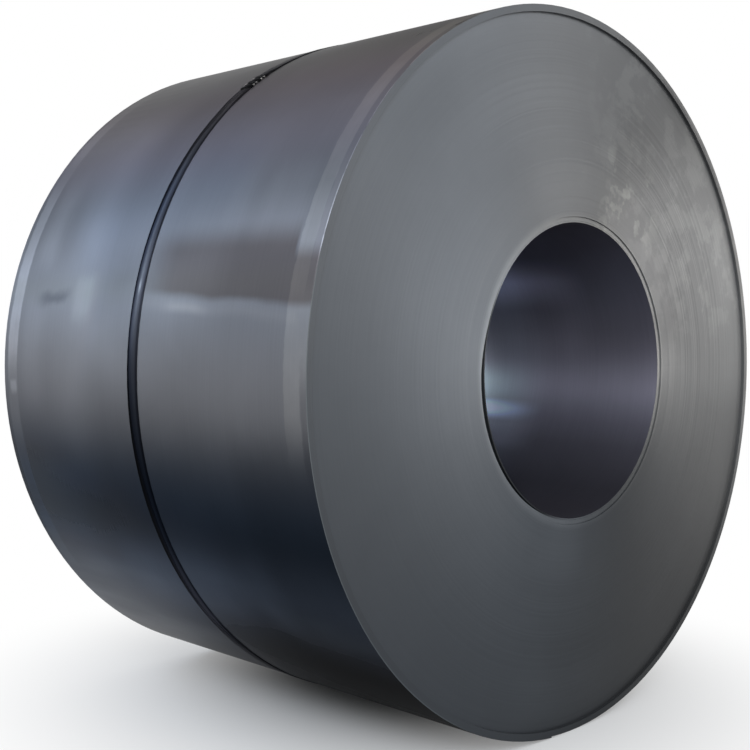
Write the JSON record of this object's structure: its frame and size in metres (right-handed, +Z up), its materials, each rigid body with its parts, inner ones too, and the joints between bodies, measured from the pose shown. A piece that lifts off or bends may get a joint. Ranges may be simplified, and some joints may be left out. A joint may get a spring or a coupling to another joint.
{
  "type": "steel coil",
  "caption": "Wide coil of bare steel strip lying on its side, with an open bore through its middle and one crimped steel strap round its girth.",
  "frame": {"origin": "on the floor, under the middle of the coil's overall box", "axes": "+Y along the winding axis, from the end that the picture shows to the far end; +Z up"},
  "size_m": [1.5008, 1.0235, 1.4994],
  "materials": {
    "strip_steel": "bare rolled strip, semi-gloss wall, satin lap edges",
    "strap_steel": "black lacquered strapping",
    "seal_steel": "black lacquered seal, bare at its crimps"
  },
  "bodies": {
    "root": {"coil": "strip_steel", "strap": "strap_steel", "strap_seal": "seal_steel"}
  },
  "joints": []
}
